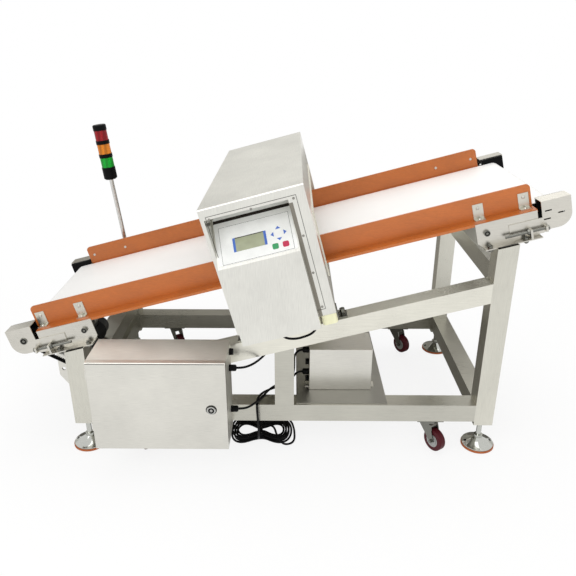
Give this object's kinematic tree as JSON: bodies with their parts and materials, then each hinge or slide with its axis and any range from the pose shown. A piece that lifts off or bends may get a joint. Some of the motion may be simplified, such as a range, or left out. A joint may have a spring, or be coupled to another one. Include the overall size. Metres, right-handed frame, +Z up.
{
  "type": "conveyor metal detector",
  "caption": "Inclined belt conveyor with a tunnel metal detector head and sloped key panel, on a castored stainless frame with control boxes and a signal tower.",
  "frame": {"origin": "on the floor, under the centre of the machine's box without its mains cord", "axes": "+X uphill along the conveyor, -Y to the operator at the key panel, +Z up"},
  "size_m": [1.6792, 0.9556, 0.9457],
  "materials": {
    "stainless": "brushed stainless steel",
    "stainless_head": "satin stainless sheet",
    "phenolic": "orange phenolic board",
    "belt": "white belt",
    "roller_steel": "turned steel",
    "timing": "black toothed belt",
    "pulley_alloy": "machined",
    "chrome": "polished, on a rubber ring",
    "wheel": "maroon tread on a grey hub",
    "zinc": "zinc plated",
    "black_plastic": "black plastic",
    "motor_paint": "dark blue-black paint",
    "liner": "pale liner",
    "overlay": "printed panel film",
    "screen": "liquid-crystal screen",
    "key_blue": "blue key",
    "key_green": "green key",
    "key_red": "red key",
    "nylon": "pale yellow nylon",
    "lens_red": "red lens",
    "lens_amber": "amber lens",
    "lens_green": "green lens",
    "device": "grey switchgear",
    "cable": "black cable sheath"
  },
  "bodies": {
    "base": {"legs": "stainless", "base_rails": "stainless", "inclined_rails": "stainless", "shelf_tray": "stainless", "castor_plates": "zinc", "side_plates": "stainless", "slider_bed": "phenolic", "side_guards": "phenolic", "guard_brackets": "stainless", "conveyor_belt": "belt", "end_housings": "stainless", "bearing_plates": "black_plastic", "timing_belt": "timing", "gear_motor": "motor_paint", "motor_mount": "stainless", "head_shell": "stainless_head", "aperture_liner": "liner", "head_cover": "stainless_head", "panel_overlay": "overlay", "display": "screen", "head_pads": "nylon", "fasteners": "zinc", "tower_pole": "stainless", "lens_green": "lens_green", "lens_amber": "lens_amber", "lens_red": "lens_red", "tower_housing": "black_plastic", "control_box": "stainless", "box_components": "device", "drive_box": "stainless", "cable_glands": "black_plastic", "control_cables": "cable", "cord_hank": "cable", "mains_plug": "cable", "mains_cord": "cable"},
    "foot_fl": {"foot_fl": "chrome"},
    "foot_fr": {"foot_fr": "chrome"},
    "foot_rl": {"foot_rl": "chrome"},
    "foot_rr": {"foot_rr": "chrome"},
    "castor_fork_fl": {"castor_fork_fl": "zinc"},
    "castor_wheel_fl": {"castor_wheel_fl": "wheel"},
    "castor_fork_fr": {"castor_fork_fr": "zinc"},
    "castor_wheel_fr": {"castor_wheel_fr": "wheel"},
    "castor_fork_rl": {"castor_fork_rl": "zinc"},
    "castor_wheel_rl": {"castor_wheel_rl": "wheel"},
    "castor_fork_rr": {"castor_fork_rr": "zinc"},
    "castor_wheel_rr": {"castor_wheel_rr": "wheel"},
    "drive_roller": {"drive_roller": "roller_steel"},
    "idler_roller": {"idler_roller": "roller_steel"},
    "return_roller_left": {"return_roller_left": "roller_steel"},
    "return_roller_right": {"return_roller_right": "roller_steel"},
    "motor_pulley": {"motor_pulley": "pulley_alloy"},
    "key_up": {"key_up": "key_blue"},
    "key_down": {"key_down": "key_blue"},
    "key_left": {"key_left": "key_blue"},
    "key_right": {"key_right": "key_blue"},
    "key_start": {"key_start": "key_green"},
    "key_stop": {"key_stop": "key_red"},
    "control_box_door": {"control_box_door": "stainless"},
    "door_lock": {"door_lock": "black_plastic"}
  },
  "joints": [
    {"name": "drive_roller_spin", "type": "hinge", "parent": "base", "child": "drive_roller", "pos_m": [-0.78516, 0.03375, 0.37714], "axis": [0, 1, 0], "continuous": true},
    {"name": "idler_roller_spin", "type": "hinge", "parent": "base", "child": "idler_roller", "pos_m": [0.79403, 0.03375, 0.7929], "axis": [0, 1, 0], "continuous": true},
    {"name": "return_roller_left_spin", "type": "hinge", "parent": "base", "child": "return_roller_left", "pos_m": [-0.59088, 0.03375, 0.41691], "axis": [0, 1, 0], "continuous": true},
    {"name": "return_roller_right_spin", "type": "hinge", "parent": "base", "child": "return_roller_right", "pos_m": [0.60729, 0.03375, 0.73237], "axis": [0, 1, 0], "continuous": true},
    {"name": "motor_pulley_spin", "type": "hinge", "parent": "base", "child": "motor_pulley", "pos_m": [-0.63908, -0.26525, 0.30203], "axis": [0, 1, 0], "continuous": true},
    {"name": "castor_swivel_fl", "type": "hinge", "parent": "base", "child": "castor_fork_fl", "pos_m": [-0.44908, -0.29725, 0.095], "axis": [0, 0, 1], "continuous": true},
    {"name": "castor_wheel_spin_fl", "type": "hinge", "parent": "castor_fork_fl", "child": "castor_wheel_fl", "pos_m": [-0.43007, -0.32544, 0.04], "axis": [0.829, 0.5592, 0], "continuous": true},
    {"name": "castor_swivel_fr", "type": "hinge", "parent": "base", "child": "castor_fork_fr", "pos_m": [0.49592, -0.29725, 0.095], "axis": [0, 0, 1], "continuous": true},
    {"name": "castor_wheel_spin_fr", "type": "hinge", "parent": "castor_fork_fr", "child": "castor_wheel_fr", "pos_m": [0.51493, -0.32544, 0.04], "axis": [0.829, 0.5592, 0], "continuous": true},
    {"name": "castor_swivel_rl", "type": "hinge", "parent": "base", "child": "castor_fork_rl", "pos_m": [-0.44908, 0.36475, 0.095], "axis": [0, 0, 1], "continuous": true},
    {"name": "castor_wheel_spin_rl", "type": "hinge", "parent": "castor_fork_rl", "child": "castor_wheel_rl", "pos_m": [-0.43007, 0.33656, 0.04], "axis": [0.829, 0.5592, 0], "continuous": true},
    {"name": "castor_swivel_rr", "type": "hinge", "parent": "base", "child": "castor_fork_rr", "pos_m": [0.49592, 0.36475, 0.095], "axis": [0, 0, 1], "continuous": true},
    {"name": "castor_wheel_spin_rr", "type": "hinge", "parent": "castor_fork_rr", "child": "castor_wheel_rr", "pos_m": [0.51493, 0.33656, 0.04], "axis": [0.829, 0.5592, 0], "continuous": true},
    {"name": "foot_height_fl", "type": "slide", "parent": "base", "child": "foot_fl", "axis": [0, 0, 1], "range_m": [-0.03, 0]},
    {"name": "foot_height_fr", "type": "slide", "parent": "base", "child": "foot_fr", "axis": [0, 0, 1], "range_m": [-0.03, 0]},
    {"name": "foot_height_rl", "type": "slide", "parent": "base", "child": "foot_rl", "axis": [0, 0, 1], "range_m": [-0.03, 0]},
    {"name": "foot_height_rr", "type": "slide", "parent": "base", "child": "foot_rr", "axis": [0, 0, 1], "range_m": [-0.03, 0]},
    {"name": "box_door_hinge", "type": "hinge", "parent": "base", "child": "control_box_door", "pos_m": [-0.54388, -0.4545, 0.2555], "axis": [0, 0, -1], "range_deg": [0, 115]},
    {"name": "door_lock_turn", "type": "hinge", "parent": "control_box_door", "child": "door_lock", "pos_m": [-0.18508, -0.47275, 0.248], "axis": [0, -1, 0], "range_deg": [0, 90]},
    {"name": "key_up_press", "type": "slide", "parent": "base", "child": "key_up", "axis": [0.1861, 0.6824, -0.7069], "range_m": [0, 0.0006], "stiffness_N_per_m": 400},
    {"name": "key_down_press", "type": "slide", "parent": "base", "child": "key_down", "axis": [0.1861, 0.6824, -0.7069], "range_m": [0, 0.0006], "stiffness_N_per_m": 400},
    {"name": "key_left_press", "type": "slide", "parent": "base", "child": "key_left", "axis": [0.1861, 0.6824, -0.7069], "range_m": [0, 0.0006], "stiffness_N_per_m": 400},
    {"name": "key_right_press", "type": "slide", "parent": "base", "child": "key_right", "axis": [0.1861, 0.6824, -0.7069], "range_m": [0, 0.0006], "stiffness_N_per_m": 400},
    {"name": "key_start_press", "type": "slide", "parent": "base", "child": "key_start", "axis": [0.1861, 0.6824, -0.7069], "range_m": [0, 0.0006], "stiffness_N_per_m": 400},
    {"name": "key_stop_press", "type": "slide", "parent": "base", "child": "key_stop", "axis": [0.1861, 0.6824, -0.7069], "range_m": [0, 0.0006], "stiffness_N_per_m": 400}
  ],
  "couplings": [
    {"joint": "idler_roller_spin", "follows": "drive_roller_spin", "ratio": 1},
    {"joint": "return_roller_left_spin", "follows": "drive_roller_spin", "ratio": -1.3125},
    {"joint": "return_roller_right_spin", "follows": "drive_roller_spin", "ratio": -1.3125},
    {"joint": "motor_pulley_spin", "follows": "drive_roller_spin", "ratio": 0.84849}
  ]
}
